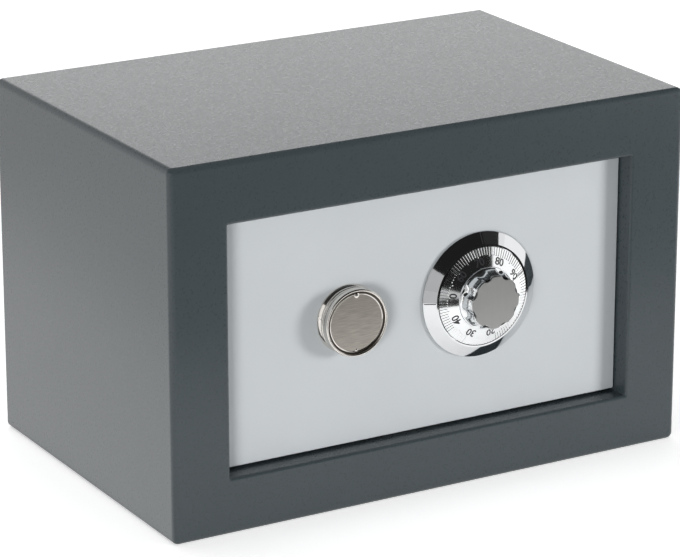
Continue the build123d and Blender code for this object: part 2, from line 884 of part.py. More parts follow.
flange_half = bolt_spacing / 2 + bolt_radius + plate_flange_margin
flange_reach = bolt_radius + plate_flange_margin / 2
bolt_levels = [lock_level - bolt_spacing / 2, lock_level + bolt_spacing / 2]
fork_left = fork_x - fork_half - prong_width
fork_right = fork_x + fork_half + prong_width

with BuildPart() as bolt_plate:
    with BuildSketch(facing(plate_rear)) as plate_outline:
        with BuildLine():
            Polyline(
                (fork_left, fork_bottom),
                (fork_left, rail_top),
                (bolt_root, rail_top),
                (bolt_root, lock_level - flange_half),
                (web_left, lock_level - flange_half),
                (web_left, rail_bottom),
                (fork_right, rail_bottom),
                (fork_right, fork_bottom),
                close=True,
            )
        make_face()
        for corner in (
            (fork_left, rail_top),
            (fork_right, rail_bottom),
            (web_left, rail_bottom),
        ):
            fillet(plate_outline.vertices().sort_by_distance(corner)[0], plate_corner)
        with Locations((fork_x, (fork_bottom + fork_top) / 2)):
            Rectangle(2 * fork_half, fork_top - fork_bottom, mode=Mode.SUBTRACT)
        with Locations((fork_x, fork_top)):
            Circle(fork_half, mode=Mode.SUBTRACT)
        slot_length = bolt_travel + 2 * (guide_radius + end_play)
        for guide_x in guide_xs:
            with Locations((guide_x - bolt_travel / 2, rail_middle)):
                SlotOverall(
                    slot_length, 2 * (guide_radius + end_play), mode=Mode.SUBTRACT
                )
    extrude(amount=plate_thickness)
    with BuildSketch(facing(bolt_y + flange_reach)):
        with Locations((bolt_root - plate_thickness / 2, lock_level)):
            Rectangle(plate_thickness, 2 * flange_half)
    extrude(amount=2 * flange_reach)
    with BuildSketch(Plane.YZ.offset(flange_left)):
        for level in bolt_levels:
            with Locations((bolt_y, level)):
                Circle(bolt_spigot_radius)
    extrude(amount=plate_thickness, mode=Mode.SUBTRACT)
bolt_plate.part.label = "bolt_plate"
export_step(bolt_plate.part, "parts/bolt_plate.step")

for bolt_name, level in zip(("lower_bolt", "upper_bolt"), bolt_levels):
    with BuildPart() as bolt:
        with BuildSketch(Plane.YZ.offset(bolt_root)):
            with Locations((bolt_y, level)):
                Circle(bolt_radius)
        extrude(amount=bolt_length)
        chamfer(bolt.faces().sort_by(Axis.X)[-1].edges(), bolt_chamfer)
        with BuildSketch(Plane.YZ.offset(flange_left)):
            with Locations((bolt_y, level)):
                Circle(bolt_spigot_radius)
        extrude(amount=plate_thickness)
    bolt.part.label = bolt_name
    export_step(bolt.part, f"parts/{bolt_name}.step")

fence_tip = dial_x + wheel_radius + fence_clearance
fence_right = web_left + fence_foot
with BuildPart() as fence:
    with BuildSketch(facing(plate_front)):
        with Locations(((fence_tip + fence_right) / 2, lock_level)):
            Rectangle(fence_right - fence_tip, fence_height)
    extrude(amount=plate_front - wheel_fronts[0])
    tip_edges = fence.faces().sort_by(Axis.X)[0].edges().filter_by(Axis.Y)
    chamfer(tip_edges, fence_chamfer)
fence.part.label = "fence"
export_step(fence.part, "parts/fence.step")

bracket_rear = bolt_y + bolt_radius + plate_flange_margin
with BuildPart() as bolt_bracket:
    with BuildSketch(facing(bracket_rear)):
        with Locations(((bracket_left + bracket_right) / 2, lock_level)):
            Rectangle(bracket_thickness, 2 * bracket_half)
    extrude(amount=bracket_rear - door_rear)
    with BuildSketch(facing(door_rear + bracket_thickness)):
        with Locations((bracket_right - bracket_foot / 2, lock_level)):
            Rectangle(bracket_foot, 2 * bracket_half)
    extrude(amount=bracket_thickness)
    with BuildSketch(Plane.YZ.offset(bracket_left)):
        for level in bolt_levels:
            with Locations((bolt_y, level)):
                Circle(bolt_radius + running_clearance)
    extrude(amount=bracket_thickness, mode=Mode.SUBTRACT)
bolt_bracket.part.label = "bolt_bracket"
export_step(bolt_bracket.part, "parts/bolt_bracket.step")

guide_places = [(guide_x, rail_middle) for guide_x in guide_xs]
clip_rear = plate_rear + end_play + guide_clip_thickness
with BuildPart() as guide_posts:
    with BuildSketch(facing(plate_front - end_play)):
        with Locations(*guide_places):
            Circle(guide_shoulder_radius)
    extrude(amount=plate_front - end_play - door_rear)
    with BuildSketch(facing(clip_rear + guide_end)):
        with Locations(*guide_places):
            Circle(guide_radius)
    extrude(amount=clip_rear + guide_end - plate_front + end_play)
guide_posts.part.label = "guide_posts"
export_step(guide_posts.part, "parts/guide_posts.step")

with BuildPart() as guide_clips:
    with BuildSketch(facing(clip_rear)):
        with Locations(*guide_places):
            Circle(guide_clip_radius)
            Circle(guide_radius, mode=Mode.SUBTRACT)
    extrude(amount=guide_clip_thickness)
guide_clips.part.label = "guide_clips"
export_step(guide_clips.part, "parts/guide_clips.step")

# Inner cover over the boltwork, on four posts

with BuildPart() as inner_cover:
    with BuildSketch(facing(pan_rear)):
        with Locations((pan_middle, lock_level)):
            RectangleRounded(pan_width, pan_height, pan_corner)
    extrude(amount=pan_depth)
    fillet(inner_cover.faces().sort_by(Axis.Y)[-1].edges(), pan_edge)
    offset(amount=-pan_wall, openings=inner_cover.faces().sort_by(Axis.Y)[0])
    notch_half = bolt_radius + pan_notch_gap
    with BuildSketch(Plane.YZ.offset(pan_right - pan_wall)):
        for level in bolt_levels:
            with Locations((bolt_y, level)):
                Circle(notch_half)
            with Locations(((bolt_y + door_rear) / 2, level)):
                Rectangle(bolt_y - door_rear, 2 * notch_half)
    extrude(amount=pan_wall, mode=Mode.SUBTRACT)
    with BuildSketch(facing(pan_rear)):
        with Locations((pan_middle, lock_level)):
            with GridLocations(pan_post_dx, pan_post_dz, 2, 2):
                Circle(screw_radius)
    extrude(amount=pan_wall, mode=Mode.SUBTRACT)
inner_cover.part.label = "inner_cover"
export_step(inner_cover.part, "parts/inner_cover.step")

with BuildPart() as cover_posts:
    with BuildSketch(facing(pan_rear - pan_wall)):
        with Locations((pan_middle, lock_level)):
            with GridLocations(pan_post_dx, pan_post_dz, 2, 2):
                Circle(pan_post_radius)
    extrude(amount=pan_depth - pan_wall)
    with BuildSketch(facing(pan_rear - pan_wall)):
        with Locations((pan_middle, lock_level)):
            with GridLocations(pan_post_dx, pan_post_dz, 2, 2):
                Circle(screw_radius)
    extrude(amount=screw_length, mode=Mode.SUBTRACT)
cover_posts.part.label = "cover_posts"
export_step(cover_posts.part, "parts/cover_posts.step")

with BuildPart() as cover_screws:
    with BuildSketch(facing(pan_rear + screw_head)):
        with Locations((pan_middle, lock_level)):
            with GridLocations(pan_post_dx, pan_post_dz, 2, 2):
                Circle(screw_head_radius)
    extrude(amount=screw_head)
    with BuildSketch(facing(pan_rear)):
        with Locations((pan_middle, lock_level)):
            with GridLocations(pan_post_dx, pan_post_dz, 2, 2):
                Circle(screw_radius)
    extrude(amount=pan_wall + screw_length)
cover_screws.part.label = "cover_screws"
export_step(cover_screws.part, "parts/cover_screws.step")
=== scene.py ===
"""Dresses the frame of a small combination safe: paint, plating, dial markings, mat and studio."""

import json
from math import atan2, cos, hypot, pi, radians, sin

import bmesh
import bpy
from mathutils import Matrix, Vector


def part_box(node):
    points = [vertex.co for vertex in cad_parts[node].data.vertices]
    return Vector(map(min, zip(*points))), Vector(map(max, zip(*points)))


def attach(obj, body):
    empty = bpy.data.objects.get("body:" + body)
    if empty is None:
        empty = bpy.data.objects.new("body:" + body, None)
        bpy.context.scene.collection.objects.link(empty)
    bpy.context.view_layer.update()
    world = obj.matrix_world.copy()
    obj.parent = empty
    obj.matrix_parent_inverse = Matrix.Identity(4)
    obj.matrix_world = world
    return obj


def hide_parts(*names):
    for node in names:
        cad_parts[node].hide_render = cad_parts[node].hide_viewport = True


bl_info = {
    "name": "Combination Safe Workshop",
    "version": (1, 0, 0),
    "blender": (4, 5, 0),
    "location": "3D View > Sidebar > Safe",
    "description": "Paints, plates and marks a small combination safe and sets its studio",
    "category": "Object",
}

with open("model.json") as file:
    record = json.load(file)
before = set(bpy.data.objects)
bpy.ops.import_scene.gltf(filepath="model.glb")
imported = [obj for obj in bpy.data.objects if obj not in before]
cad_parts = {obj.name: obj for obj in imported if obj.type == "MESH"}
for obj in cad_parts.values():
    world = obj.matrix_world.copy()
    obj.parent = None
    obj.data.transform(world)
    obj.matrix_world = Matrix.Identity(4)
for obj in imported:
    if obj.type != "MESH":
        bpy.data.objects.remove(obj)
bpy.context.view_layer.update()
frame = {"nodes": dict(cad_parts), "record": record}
MM = 0.001

# Places that the frame gives
dial_low, dial_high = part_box("dial_disc")
ring_low, ring_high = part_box("dial_ring")
knob_low, knob_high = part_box("dial_knob")
mat_low, mat_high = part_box("floor_mat")
door_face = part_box("door_plate")[0].y
dial_centre = (dial_low + dial_high) / 2
dial_radius = (dial_high.x - dial_low.x) / 2
ring_radius = (ring_high.x - ring_low.x) / 2
knob_radius = (knob_high.x - knob_low.x) / 2

# The dial's face is a cone that rises from its edge to the knob
dial_edge_height = 5.0 * MM
dial_hub_height = door_face - dial_low.y
dial_slope = (dial_hub_height - dial_edge_height) / (dial_radius - knob_radius)
dial_lean = atan2(dial_slope, 1)

# Patterns of the materials, in waves per metre
CLOUDS = 22.0
SMUDGES = 160.0
PAPER_GRAIN = 300.0
BRUSH_LINES = 900.0
SPECKS = 1200.0
FIBRES = 1500.0
CROSS_FIBRES = 1300.0

# Points this close together are one point
WELD = 0.005 * MM

# Heights this close together are the same
SAME = 0.01 * MM

# A face looks along an axis when its normal has this share of it
ALONG = 0.9

# Turns an upright cylinder so that its axis runs from the front to the back
TO_FRONT = (pi / 2, 0, 0)


# Settings that a user would change


class SafeFinish(bpy.types.PropertyGroup):
    """Colours and grain of the paint and the plating."""

    casing_colour: bpy.props.FloatVectorProperty(
        name="Casing colour",
        description="Slate powder coat of the casing",
        default=(0.046, 0.060, 0.066),
        subtype="COLOR",
        min=0,
        max=1,
    )
    door_colour: bpy.props.FloatVectorProperty(
        name="Door colour",
        description="Pale grey powder coat of the door",
        default=(0.60, 0.63, 0.65),
        subtype="COLOR",
        min=0,
        max=1,
    )
    grain: bpy.props.FloatProperty(
        name="Coat grain",
        description="Width of one bump of the textured powder coat",
        default=0.75 * MM,
        unit="LENGTH",
    )
    coat_relief: bpy.props.FloatProperty(
        name="Coat relief",
        description="Height of the powder coat's bumps",
        default=0.022 * MM,
        unit="LENGTH",
    )
    chrome_colour: bpy.props.FloatVectorProperty(
        name="Chrome colour",
        description="Chrome plate of the dial, its ring and its knob",
        default=(0.74, 0.75, 0.76),
        subtype="COLOR",
        min=0,
        max=1,
    )
    nickel_colour: bpy.props.FloatVectorProperty(
        name="Nickel colour",
        description="Satin nickel of the key cover",
        default=(0.54, 0.50, 0.45),
        subtype="COLOR",
        min=0,
        max=1,
    )


class SafeDialMarks(bpy.types.PropertyGroup):
    """Graduations, numbers and index marks of the dial."""

    graduations: bpy.props.IntProperty(
        name="Graduations", description="Marks round the dial", default=100, min=10
    )
    index_number: bpy.props.IntProperty(
        name="Number at the index",
        description="The graduation that stands under the index mark",
        default=73,
        min=0,
    )
    mark_length: bpy.props.FloatProperty(
        name="Mark length",
        description="Length of a graduation from the rim inwards",
        default=3.9 * MM,
        unit="LENGTH",
    )
    long_mark_extra: bpy.props.FloatProperty(
        name="Long mark extra",
        description="How much further each fifth graduation runs",
        default=0.9 * MM,
        unit="LENGTH",
    )
    mark_depth: bpy.props.FloatProperty(
        name="Mark depth",
        description="Depth of the engraved graduations",
        default=0.22 * MM,
        unit="LENGTH",
    )
    number_radius: bpy.props.FloatProperty(
        name="Number radius",
        description="Radius of the circle on which the numbers stand",
        default=20.0 * MM,
        unit="LENGTH",
    )
    number_height: bpy.props.FloatProperty(
        name="Number height",
        description="Height of the dial's digits",
        default=4.1 * MM,
        unit="LENGTH",
    )
    inlay: bpy.props.FloatProperty(
        name="Inlay height",
        description="How far the enamel of numbers and index marks stands proud",
        default=0.04 * MM,
        unit="LENGTH",
    )
    index_width: bpy.props.FloatProperty(
        name="Index width",
        description="Width of the index marks on the ring",
        default=0.5 * MM,
        unit="LENGTH",
    )


class SafeStudio(bpy.types.PropertyGroup):
    """Camera and even light of the studio."""

    lens: bpy.props.FloatProperty(
        name="Lens", description="Focal length in millimetres", default=185.7
    )
    camera_place: bpy.props.FloatVectorProperty(
        name="Camera place",
        description="Where the camera stands",
        default=(-0.9116, -1.5722, 0.6915),
        subtype="TRANSLATION",
        unit="LENGTH",
    )
    camera_azimuth: bpy.props.FloatProperty(
        name="Camera azimuth",
        description="Turn of the camera about the vertical",
        default=radians(-30.12),
        subtype="ANGLE",
    )
    camera_elevation: bpy.props.FloatProperty(
        name="Camera elevation",
        description="How far the camera looks down",
        default=radians(18.32),
        subtype="ANGLE",
    )
    sky: bpy.props.FloatProperty(
        name="Room light",
        description="Strength of the even light from all round",
        default=0.24,
        min=0,
    )


# Node and mesh helpers


def start_material(name):
    """A new material; returns it with its node tree and its surface shader."""
    material = bpy.data.materials.new(name)
    material.use_nodes = True
    return material, material.node_tree, material.node_tree.nodes["Principled BSDF"]


def pattern(tree, kind, scale, stretch=(1, 1, 1), **values):
    """A texture node of that kind on Object coordinates, scaled per metre."""
    place = tree.nodes.new("ShaderNodeTexCoord")
    mapping = tree.nodes.new("ShaderNodeMapping")
    mapping.inputs["Scale"].default_value = stretch
    texture = tree.nodes.new(kind)
    texture.inputs["Scale"].default_value = scale
    for name, value in values.items():
        texture.inputs[name].default_value = value
    tree.links.new(place.outputs["Object"], mapping.inputs["Vector"])
    tree.links.new(mapping.outputs["Vector"], texture.inputs["Vector"])
    return texture


def noise(tree, scale, stretch=(1, 1, 1), **values):
    """The value of a noise texture on Object coordinates."""
    return pattern(tree, "ShaderNodeTexNoise", scale, stretch, **values).outputs["Fac"]


def spread(tree, source, low, high, low_in=0.3, high_in=0.7):
    """Maps a value to a range, clamped; a noise texture's own values run from 0.3 to 0.7."""
    remap = tree.nodes.new("ShaderNodeMapRange")
    remap.inputs["From Min"].default_value = low_in
    remap.inputs["From Max"].default_value = high_in
    remap.inputs["To Min"].default_value = low
    remap.inputs["To Max"].default_value = high
    tree.links.new(source, remap.inputs["Value"])
    return remap.outputs["Result"]


def tint(tree, factor, colour_a, colour_b):
    """Mixes two colours by a factor from a texture."""
    mix = tree.nodes.new("ShaderNodeMix")
    mix.data_type = "RGBA"
    mix.inputs["A"].default_value = (*colour_a, 1)
    mix.inputs["B"].default_value = (*colour_b, 1)
    tree.links.new(factor, mix.inputs["Factor"])
    return mix.outputs["Result"]


def shade(colour, factor):
    """A colour made lighter or darker."""
    return tuple(channel * factor for channel in colour)


def add_bump(tree, height, distance, strength=1.0, under=None):
    """A bump node of that height in metres, over another where one is given."""
    bump = tree.nodes.new("ShaderNodeBump")
    bump.inputs["Distance"].default_value = distance
    bump.inputs["Strength"].default_value = strength
    tree.links.new(height, bump.inputs["Height"])
    if under is not None:
        tree.links.new(under, bump.inputs["Normal"])
    return bump.outputs["Normal"]


def paint_node(node, material):
    """Gives a node of the frame one material in all its slots."""
    slots = frame["nodes"][node].data.materials
    slots.clear()
    slots.append(material)


def deselect():
    """Clears the selection, because operators act on all that is selected."""
    if bpy.context.object is not None and bpy.context.object.mode != "OBJECT":
        bpy.ops.object.mode_set(mode="OBJECT")
    bpy.ops.object.select_all(action="DESELECT")


def select_only(*pieces):
    """Selects these pieces alone; the first is the active one."""
    deselect()
    for piece in pieces:
        piece.select_set(True)
    bpy.context.view_layer.objects.active = pieces[0]


def settle(piece):
    """Puts a piece's place, turn and scale into its mesh."""
    select_only(piece)
    bpy.ops.object.transform_apply(location=True, rotation=True, scale=True)


def add_cylinder(vertices, radius, depth, place, turn=(0, 0, 0)):
    """A cylinder round its middle, upright unless it is turned."""
    deselect()
    bpy.ops.mesh.primitive_cylinder_add(
        vertices=vertices, radius=radius, depth=depth, location=place, rotation=turn
    )
    return bpy.context.object


def add_block(size, middle=(0, 0, 0)):
    """A block of that size round its middle, with its place in its mesh."""
    deselect()
    bpy.ops.mesh.primitive_cube_add(size=1, location=middle)
    block = bpy.context.object
    block.scale = size
    settle(block)
    return block


def choose(piece, kind, test):
    """In edit mode, selects the faces, edges or verts that pass the test, and no others."""
    mesh = bmesh.from_edit_mesh(piece.data)
    bpy.ops.mesh.select_mode(type=kind.removesuffix("s").upper())
    bpy.ops.mesh.select_all(action="DESELECT")
    for element in getattr(mesh, kind):
        element.select_set(bool(test(element)))
    mesh.select_flush_mode()
    bmesh.update_edit_mesh(piece.data)


def finish_piece(piece, name, material, body):
    """Names a piece, gives it its finish and lets it ride on its body."""
    piece.name = name
    piece.data.name = name
    piece.data.materials.clear()
    piece.data.materials.append(material)
    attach(piece, body)


def stands_up(edge):
    """Tells whether an edge runs along the vertical."""
    return abs(edge.verts[0].co.z - edge.verts[1].co.z) > SAME


def turn_profile(points, axis_x, axis_z, steps):
    """Spins a chain of points into a piece; each is a radius and a height, in millimetres."""
    places = [
        Vector((axis_x + radius * MM, door_face - height * MM, axis_z))
        for radius, height in points
    ]
    deselect()
    bpy.ops.mesh.primitive_plane_add(size=MM, location=places[0])
    piece = bpy.context.object
    settle(piece)
    bpy.ops.object.mode_set(mode="EDIT")
    bpy.ops.mesh.select_mode(type="VERT")
    bpy.ops.mesh.select_all(action="SELECT")
    bpy.ops.mesh.merge(type="CENTER")
    for last, place in zip(places, places[1:]):
        bpy.ops.mesh.extrude_region_move(TRANSFORM_OT_translate={"value": place - last})
    bpy.ops.mesh.select_all(action="SELECT")
    bpy.ops.mesh.spin(
        steps=steps, angle=2 * pi, center=(axis_x, door_face, axis_z), axis=(0, 1, 0)
    )
    bpy.ops.mesh.select_all(action="SELECT")
    bpy.ops.mesh.remove_doubles(threshold=WELD)
    bpy.ops.mesh.normals_make_consistent(inside=False)
    bpy.ops.object.mode_set(mode="OBJECT")
    return piece


def combine(piece, other, operation):
    """Adds another solid to a piece by a union, or cuts it away by a difference."""
    select_only(piece)
    join = piece.modifiers.new("join", "BOOLEAN")
    join.operation = operation
    join.solver = "EXACT"
    join.object = other
    bpy.ops.object.modifier_apply(modifier=join.name)
    bpy.data.objects.remove(other)


def lay_on_cone(piece, radius, angle, height, lean):
    """Lays a flat piece on a cone round the dial's axis, its top pointing outwards.

    The radius, the angle and the height in front of the door are those of its middle, and
    lean is how steeply the cone rises.
    """
    turn = Matrix.Rotation(-(angle - pi / 2), 4, "Y")
    tilt = Matrix.Rotation(pi / 2 - lean, 4, "X")
    across, up = radius * cos(angle), radius * sin(angle)
    middle = Vector((dial_centre.x + across, door_face - height, dial_centre.z + up))
    piece.data.transform(Matrix.Translation(middle) @ turn @ tilt)


# Materials


def powder_coat(name, colour, grain, roughness, mottle, relief):
    """Textured powder coat: fused bumps about a millimetre wide under an even gloss."""
    material, tree, shader = start_material(name)
    gloss_change = 0.05
    bumps = pattern(tree, "ShaderNodeTexVoronoi", 1 / grain * 0.75, Randomness=0.9)
    bumps.feature = "SMOOTH_F1"
    bumps.inputs["Smoothness"].default_value = 0.75
    peel = noise(tree, 1 / grain * 0.55, Detail=3.0, Roughness=0.6)
    clouding = spread(tree, noise(tree, CLOUDS, Detail=2.0), 0, 1)
    shine = spread(tree, peel, roughness - gloss_change, roughness + gloss_change)
    tree.links.new(shine, shader.inputs["Roughness"])
    colours = tint(tree, clouding, shade(colour, 1 - mottle), shade(colour, 1 + mottle))
    tree.links.new(colours, shader.inputs["Base Color"])
    first = add_bump(tree, peel, relief, strength=0.8)
    second = add_bump(tree, bumps.outputs["Distance"], -relief, strength=0.7, under=first)
    tree.links.new(second, shader.inputs["Normal"])
    return material


def plate(name, colour, roughness, wear=0.02, lines=None, relief=0.0, streak=0.97):
    """Plated or bare metal, with faint smudges and, where asked, fine brushed lines.

    Wear is how much rougher a smudge is, lines how the brushing is stretched along each
    axis, relief its depth, and streak how dark its darkest lines are.
    """
    material, tree, shader = start_material(name)
    shader.inputs["Metallic"].default_value = 1.0
    smudge = noise(tree, SMUDGES, Detail=4.0)
    dullness = spread(tree, smudge, roughness, roughness + wear)
    tree.links.new(dullness, shader.inputs["Roughness"])
    tone = spread(tree, smudge, 0, 1)
    if lines is not None:
        brushing = noise(tree, BRUSH_LINES, stretch=lines, Detail=3.0)
        tone = spread(tree, brushing, 0, 1)
        tree.links.new(add_bump(tree, brushing, relief), shader.inputs["Normal"])
    colours = tint(tree, tone, shade(colour, streak), colour)
    tree.links.new(colours, shader.inputs["Base Color"])
    return material


def enamel(name, colour, roughness):
    """Fired enamel or moulded plastic, slightly uneven."""
    material, tree, shader = start_material(name)
    unevenness, relief = 0.15, 0.01 * MM
    speck = noise(tree, SPECKS, Detail=2.0)
    tone = spread(tree, speck, 0, 1)
    colours = tint(tree, tone, shade(colour, 1 - unevenness), shade(colour, 1 + unevenness))
    tree.links.new(colours, shader.inputs["Base Color"])
    shader.inputs["Roughness"].default_value = roughness
    tree.links.new(add_bump(tree, speck, relief), shader.inputs["Normal"])
    return material


def felt(name, colour):
    """Needled felt: tangled fibres, flecks of lighter ones and a soft sheen."""
    material, tree, shader = start_material(name)
    fibre_height, fleck_glow = 0.3 * MM, 2.2
    fibres = noise(tree, FIBRES, stretch=(1, 0.25, 1), Detail=6.0, Distortion=1.5)
    crossing = noise(tree, CROSS_FIBRES, stretch=(0.3, 1, 1), Detail=6.0, Distortion=1.2)
    flecks = spread(tree, fibres, 0, 1, low_in=0.45, high_in=0.75)
    colours = tint(tree, flecks, colour, shade(colour, fleck_glow))
    tree.links.new(colours, shader.inputs["Base Color"])
    first = add_bump(tree, fibres, fibre_height)
    second = add_bump(tree, crossing, fibre_height, strength=0.7, under=first)
    tree.links.new(second, shader.inputs["Normal"])
    shader.inputs["Roughness"].default_value = 0.95
    shader.inputs["Sheen Weight"].default_value = 0.3
    shader.inputs["Sheen Roughness"].default_value = 0.5
    return material


# Operators


class SAFE_OT_paint_steelwork(bpy.types.Operator):
    """Paints the casing, the door and the inner cover"""

    bl_idname = "safe.paint_steelwork"
    bl_label = "Paint the steelwork"

    def execute(self, context):
        settings = context.scene.safe_finish
        slate = powder_coat(
            "slate_powder_coat", settings.casing_colour, settings.grain,
            roughness=0.30, mottle=0.03, relief=settings.coat_relief,
        )
        pale = powder_coat(
            "pale_powder_coat", settings.door_colour, settings.grain,
            roughness=0.45, mottle=0.015, relief=settings.coat_relief / 2,
        )
        for node in ("casing_shell", "back_panel"):
            paint_node(node, slate)
        for node in ("door_plate", "inner_cover"):
            paint_node(node, pale)
        return {"FINISHED"}


class SAFE_OT_plate_hardware(bpy.types.Operator):
    """Gives the dial, the key lock, the lock and the boltwork their metals"""

    bl_idname = "safe.plate_hardware"
    bl_label = "Plate the hardware"

    def execute(self, context):
        chrome = context.scene.safe_finish.chrome_colour
        nickel = context.scene.safe_finish.nickel_colour
        plates = {
            "dial_chrome": dict(colour=chrome, roughness=0.035),
            "knob_satin": dict(
                colour=(0.47, 0.47, 0.46), roughness=0.36, wear=0.05,
                lines=(1, 1, 0.06), relief=0.004 * MM,
            ),
            "cover_nickel": dict(colour=nickel, roughness=0.12, wear=0.05),
            "brushed_nickel": dict(
                colour=shade(nickel, 0.97), roughness=0.32, wear=0.06,
                lines=(0.15, 2.2, 2.2), relief=0.008 * MM, streak=0.72,
            ),
            # Dark nickel painted into the key cover's groove as painted shade, not a tarnish
            "tarnished_groove": dict(colour=(0.16, 0.14, 0.12), roughness=0.45, wear=0.10),
            "lock_zinc": dict(colour=(0.52, 0.53, 0.55), roughness=0.48, wear=0.10),
            "lock_brass": dict(colour=(0.72, 0.54, 0.26), roughness=0.26, wear=0.10),
            "plated_steel": dict(
                colour=(0.60, 0.61, 0.62), roughness=0.32, wear=0.12,
                lines=(1, 0.2, 1), relief=0.003 * MM,
            ),
            "bright_steel": dict(colour=(0.66, 0.67, 0.68), roughness=0.18, wear=0.08),
            "screw_steel": dict(colour=(0.56, 0.57, 0.58), roughness=0.28, wear=0.10),
        }
        finishes = {name: plate(name, **look) for name, look in plates.items()}
        finishes["washer_nylon"] = enamel("washer_nylon", (0.030, 0.030, 0.032), 0.45)
        for subpart in frame["record"]["subparts"]:
            if subpart["material_slot"] in finishes:
                paint_node(subpart["node"], finishes[subpart["material_slot"]])
        return {"FINISHED"}


def number_angle(marks, number):
    """The mathematical angle of a graduation; numbers rise clockwise from the index."""
    return radians(90 - (number - marks.index_number) * 360 / marks.graduations)


class SAFE_OT_engrave_dial(bpy.types.Operator):
    """Models the dial with a cut graduation at each number, longer at each fifth"""

    bl_idname = "safe.engrave_dial"
    bl_label = "Engrave the dial"

    steps_per_mark = 8
    marks_per_long_mark = 5
    mark_share = 0.15
    front_share = 0.5
    run_out = 0.3 * MM
    wall = 2.4 * MM
    hollow = 1.8 * MM
    hub_radius = 8.0 * MM
    bore_radius = 4.0 * MM

    def execute(self, context):
        marks = context.scene.safe_dial
        floor_height = door_face - dial_high.y
        middle = (dial_centre.x, door_face - (dial_edge_height + floor_height) / 2, dial_centre.z)
        dial = add_cylinder(
            self.steps_per_mark * marks.graduations,
            dial_radius,
            dial_edge_height - floor_height,
            middle,
            TO_FRONT,
        )
        settle(dial)
        bpy.ops.object.mode_set(mode="EDIT")
        short_end = dial_radius - marks.mark_length
        long_end = short_end - marks.long_mark_extra
        self.raise_cone(
            dial,
            (short_end, short_end - self.run_out, long_end, long_end - self.run_out, knob_radius),
        )
        self.hollow_out(dial)
        choose(dial, "edges", lambda edge: edge.is_boundary)
        bpy.ops.mesh.bridge_edge_loops()
        self.cut_marks(dial, marks, short_end, long_end)
        bpy.ops.mesh.select_all(action="SELECT")
        bpy.ops.mesh.normals_make_consistent(inside=False)
        bpy.ops.object.mode_set(mode="OBJECT")
        bpy.ops.object.shade_smooth_by_angle(angle=radians(9))
        finish_piece(
            dial, "engraved_dial", bpy.data.materials["dial_chrome"], "dial"
        )
        dial.data.materials.append(enamel("mark_enamel", (0.030, 0.030, 0.033), 0.30))
        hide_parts("dial_disc")
        return {"FINISHED"}

    def raise_cone(self, dial, radii):
        """Insets the front to each radius, raising it along the cone, and opens the bore."""
        choose(dial, "faces", lambda face: face.normal.y < -ALONG)
        outer = dial_radius
        for radius in radii:
            bpy.ops.mesh.inset(thickness=outer - radius, depth=dial_slope * (outer - radius))
            outer = radius
        bpy.ops.mesh.inset(thickness=outer - self.bore_radius, depth=0)
        bpy.ops.mesh.delete(type="FACE")

    def hollow_out(self, dial):
        """Sinks the back between the rim's wall and the hub, and opens the bore there."""
        back = dial_high.y - MM
        choose(
            dial,
            "faces",
            lambda face: face.normal.y > ALONG and face.calc_center_median().y > back,
        )
        bpy.ops.mesh.inset(thickness=self.wall, depth=0)
        bpy.ops.mesh.extrude_region_move(
            TRANSFORM_OT_translate={"value": (0, -self.hollow, 0)}
        )
        bpy.ops.mesh.inset(thickness=dial_radius - self.wall - self.hub_radius, depth=0)
        bpy.ops.mesh.extrude_region_move(
            TRANSFORM_OT_translate={"value": (0, self.hollow, 0)}
        )
        bpy.ops.mesh.inset(thickness=self.hub_radius - self.bore_radius, depth=0)
        bpy.ops.mesh.delete(type="FACE")

    def cut_marks(self, dial, marks, short_end, long_end):
        """Lowers the vertices along each graduation's middle line and darkens the groove."""
        pitch = 2 * pi / marks.graduations
        slack = 0.02 * MM

        def in_groove(vertex):
            offset = vertex.co - dial_centre
            radius = hypot(offset.x, offset.z)
            turn = (atan2(offset.z, offset.x) - number_angle(marks, 0)) / pitch
            if vertex.co.y > door_face - dial_edge_height + slack:
                return False
            if abs(turn - round(turn)) > self.mark_share:
                return False
            end = long_end if round(turn) % self.marks_per_long_mark == 0 else short_end
            return radius > end - slack

        choose(dial, "verts", in_groove)
        bpy.ops.transform.translate(value=(0, marks.mark_depth, 0))
        mesh = bmesh.from_edit_mesh(dial.data)
        for face in mesh.faces:
            if face.normal.y < -self.front_share and all(vertex.select for vertex in face.verts):
                face.material_index = 1
        bmesh.update_edit_mesh(dial.data)


class SAFE_OT_number_dial(bpy.types.Operator):
    """Sets an enamelled number at each tenth graduation"""

    bl_idname = "safe.number_dial"
    bl_label = "Number the dial"

    marks_per_number = 10
    type_size = 1.42
    type_spacing = 0.95
    boldness = 0.11 * MM

    def execute(self, context):
        marks = context.scene.safe_dial
        height = dial_edge_height + dial_slope * (dial_radius - marks.number_radius)
        numbers = []
        for number in range(0, marks.graduations, self.marks_per_number):
            deselect()
            bpy.ops.object.text_add()
            text = bpy.context.object.data
            text.body = str(number)
            text.align_x = "CENTER"
            text.align_y = "CENTER"
            text.size = marks.number_height * self.type_size
            text.space_character = self.type_spacing
            text.extrude = marks.inlay
            text.resolution_u = 3
            text.offset = self.boldness
            bpy.ops.object.convert(target="MESH")
            piece = bpy.context.object
            angle = number_angle(marks, number)
            lay_on_cone(piece, marks.number_radius, angle, height, dial_lean)
            numbers.append(piece)
        select_only(*numbers)
        bpy.ops.object.join()
        ink = bpy.data.materials["mark_enamel"]
        finish_piece(bpy.context.object, "dial_numbers", ink, "dial")
        return {"FINISHED"}


